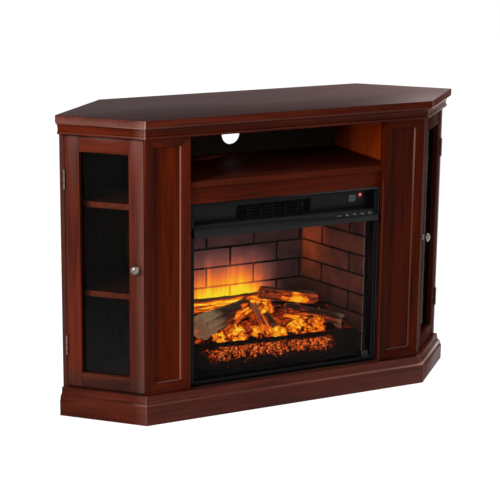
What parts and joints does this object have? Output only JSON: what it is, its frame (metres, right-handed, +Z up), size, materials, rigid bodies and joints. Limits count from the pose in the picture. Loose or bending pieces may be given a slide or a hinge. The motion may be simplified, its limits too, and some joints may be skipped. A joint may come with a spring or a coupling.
{
  "type": "corner media fireplace",
  "caption": "Six-sided corner cabinet with glazed doors at both chamfers, an open media bay and an electric hearth insert with brick liner and logs.",
  "frame": {"origin": "centre of the footprint's bounding box, on the floor", "axes": "+Z up, +X to the viewer's right when facing the doors, +Y from the front towards the room corner"},
  "size_m": [1.2192, 0.381, 0.819],
  "materials": {
    "cherry_wood": "semi-gloss red-brown cherry veneer, fine vertical grain",
    "dark_wood": "satin dark cherry stain on carcass boards",
    "back_board": "thin brown fibreboard",
    "black_metal": "satin black powder coat",
    "zinc_sheet": "plain zinc-coated sheet",
    "pewter": "antique pewter, soft polish",
    "door_glass": "clear float glass",
    "hearth_glass": "clear tempered glass",
    "brick": "moulded fibre board, matt brick and mortar",
    "log_resin": "moulded resin, charred bark",
    "ember_resin": "moulded translucent resin, ash and embers",
    "black_plastic": "moulded black plastic",
    "key_plastic": "smooth dark grey plastic",
    "lens": "tinted clear plastic",
    "circuit": "green board"
  },
  "bodies": {
    "case": {"top_slab": "cherry_wood", "cornice_front": "cherry_wood", "cornice_sides": "cherry_wood", "carcass_rails": "dark_wood", "left_pilaster": "cherry_wood", "right_pilaster": "cherry_wood", "pilaster_panels": "cherry_wood", "left_divider": "dark_wood", "right_divider": "dark_wood", "left_side_panel": "cherry_wood", "right_side_panel": "cherry_wood", "back_panel": "back_board", "bottom_panel": "dark_wood", "base_front": "cherry_wood", "base_sides": "cherry_wood", "media_shelf": "cherry_wood", "apron_rail": "cherry_wood", "cabinet_shelves": "cherry_wood", "shelf_pins": "zinc_sheet", "case_hinge_leaves": "pewter", "hinge_pins": "pewter", "door_catches": "black_plastic", "housing_sides": "zinc_sheet", "housing_plates": "zinc_sheet", "housing_back": "zinc_sheet", "insert_frame": "black_metal", "hood_panel": "black_metal", "vent_louvres": "black_metal", "control_lip": "black_metal", "display_windows": "lens", "firebox_glass": "hearth_glass", "glass_clip": "zinc_sheet", "brick_back": "brick", "brick_sides": "brick", "log_set": "log_resin", "ember_bed": "ember_resin", "lamp_strip": "circuit", "rotor_tray": "zinc_sheet", "drive_motors": "black_plastic", "blower_housing": "zinc_sheet", "heater_bar": "zinc_sheet", "control_board": "circuit", "power_inlet": "black_plastic"},
    "left_door": {"left_door_frame": "cherry_wood", "left_door_glass": "door_glass", "left_door_retainers": "cherry_wood", "left_door_knob": "pewter", "left_door_hardware": "pewter"},
    "right_door": {"right_door_frame": "cherry_wood", "right_door_glass": "door_glass", "right_door_retainers": "cherry_wood", "right_door_knob": "pewter", "right_door_hardware": "pewter"},
    "key_one_body": {"key_one": "key_plastic"},
    "key_two_body": {"key_two": "key_plastic"},
    "key_three_body": {"key_three": "key_plastic"},
    "key_four_body": {"key_four": "key_plastic"},
    "key_five_body": {"key_five": "key_plastic"},
    "blower": {"blower_wheel": "black_metal"},
    "rotor": {"flame_rotor": "zinc_sheet"}
  },
  "joints": [
    {"name": "left_door_hinge", "type": "hinge", "parent": "case", "child": "left_door", "pos_m": [-0.58506, -0.0072, 0.4215], "axis": [0, 0, -1], "range_deg": [0, 110]},
    {"name": "right_door_hinge", "type": "hinge", "parent": "case", "child": "right_door", "pos_m": [0.58506, -0.0072, 0.4215], "axis": [0, 0, 1], "range_deg": [0, 110]},
    {"name": "key_one_press", "type": "slide", "parent": "case", "child": "key_one_body", "axis": [0, 0.7071, -0.7071], "range_m": [0, 0.001], "stiffness_N_per_m": 600, "springref_m": -0.0005},
    {"name": "key_two_press", "type": "slide", "parent": "case", "child": "key_two_body", "axis": [0, 0.7071, -0.7071], "range_m": [0, 0.001], "stiffness_N_per_m": 600, "springref_m": -0.0005},
    {"name": "key_three_press", "type": "slide", "parent": "case", "child": "key_three_body", "axis": [0, 0.7071, -0.7071], "range_m": [0, 0.001], "stiffness_N_per_m": 600, "springref_m": -0.0005},
    {"name": "key_four_press", "type": "slide", "parent": "case", "child": "key_four_body", "axis": [0, 0.7071, -0.7071], "range_m": [0, 0.001], "stiffness_N_per_m": 600, "springref_m": -0.0005},
    {"name": "key_five_press", "type": "slide", "parent": "case", "child": "key_five_body", "axis": [0, 0.7071, -0.7071], "range_m": [0, 0.001], "stiffness_N_per_m": 600, "springref_m": -0.0005},
    {"name": "blower_spin", "type": "hinge", "parent": "case", "child": "blower", "pos_m": [-0.023, -0.0485, 0.5341], "axis": [1, 0, 0], "continuous": true},
    {"name": "rotor_spin", "type": "hinge", "parent": "case", "child": "rotor", "pos_m": [0, 0.1225, 0.1455], "axis": [1, 0, 0], "continuous": true}
  ]
}
